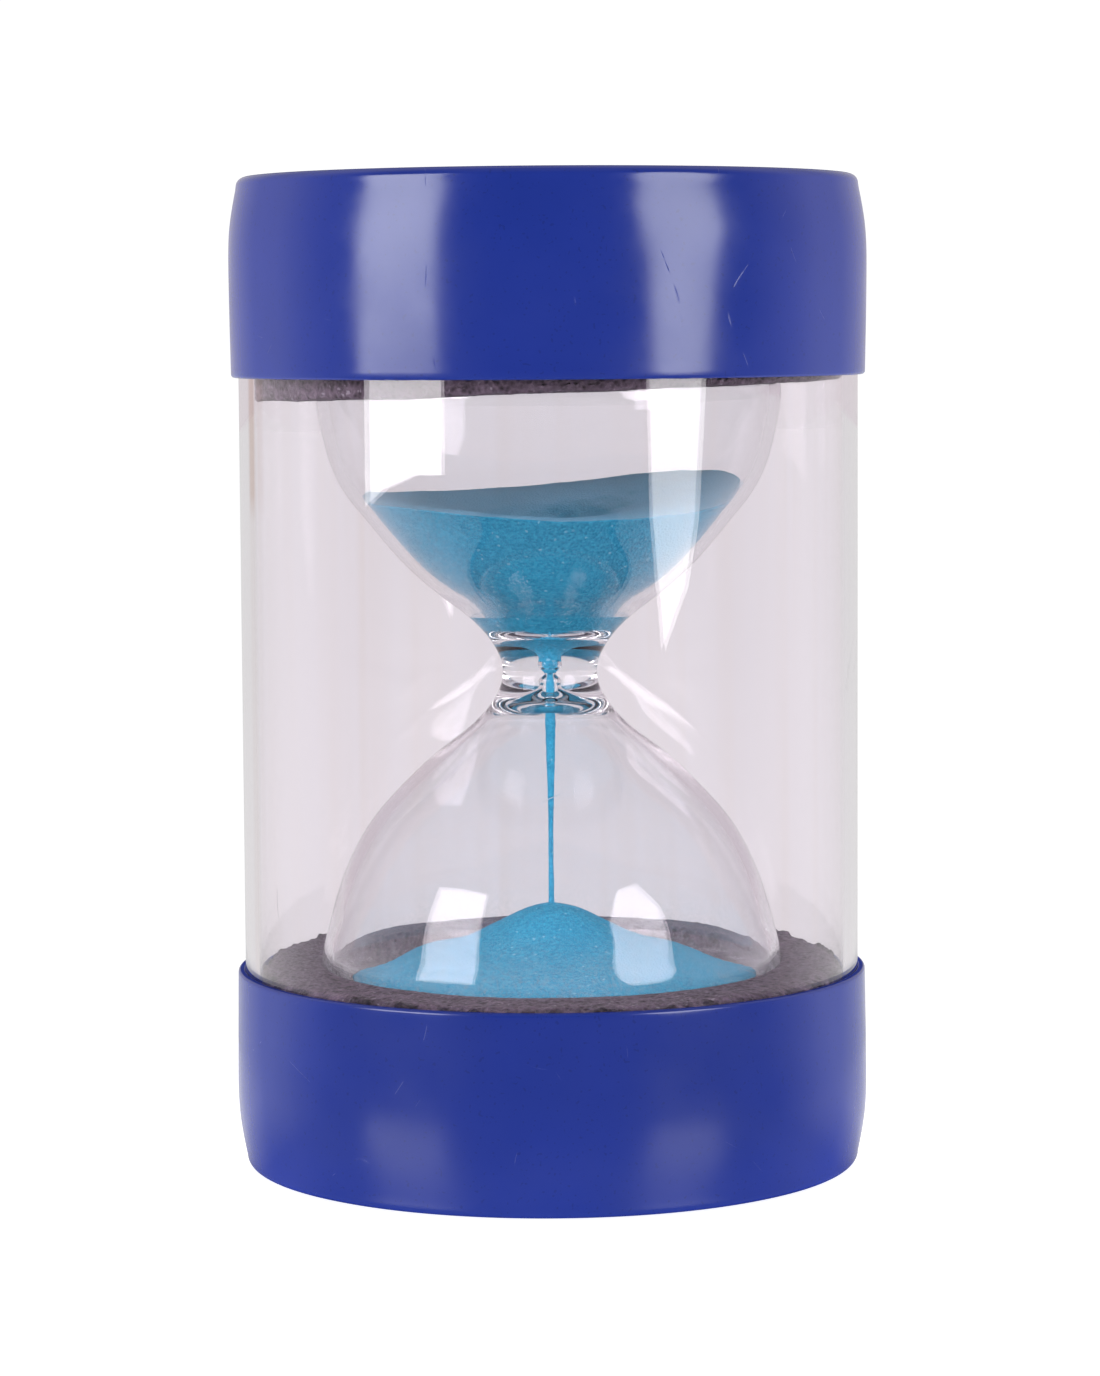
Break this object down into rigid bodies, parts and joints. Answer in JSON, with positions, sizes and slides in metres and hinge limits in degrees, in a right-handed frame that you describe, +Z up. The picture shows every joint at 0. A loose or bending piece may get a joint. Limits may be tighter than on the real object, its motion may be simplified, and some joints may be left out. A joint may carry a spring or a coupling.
{
  "type": "sand timer",
  "caption": "Large round sand timer: glass vial of sand held in foam inside a clear tube with blue vinyl end caps.",
  "frame": {"origin": "centre of the base, the flat end of the bottom cap", "axes": "+Z up along the timer's axis, towards the top cap; -Y faces the viewer"},
  "size_m": [0.09, 0.09, 0.14],
  "materials": {
    "cap_vinyl": "satin",
    "clear_tube": "gloss",
    "black_foam": "matte",
    "vial_glass": "gloss",
    "stopper_rubber": "matte",
    "blue_sand": "matte"
  },
  "bodies": {
    "root": {"bottom_cap": "cap_vinyl", "top_cap": "cap_vinyl", "outer_tube": "clear_tube", "lower_foam_cushion": "black_foam", "lower_foam_ring": "black_foam", "upper_foam_cushion": "black_foam", "upper_foam_ring": "black_foam", "glass_vial": "vial_glass", "fill_stopper": "stopper_rubber", "lower_sand": "blue_sand", "upper_sand": "blue_sand", "sand_stream": "blue_sand"}
  },
  "joints": []
}
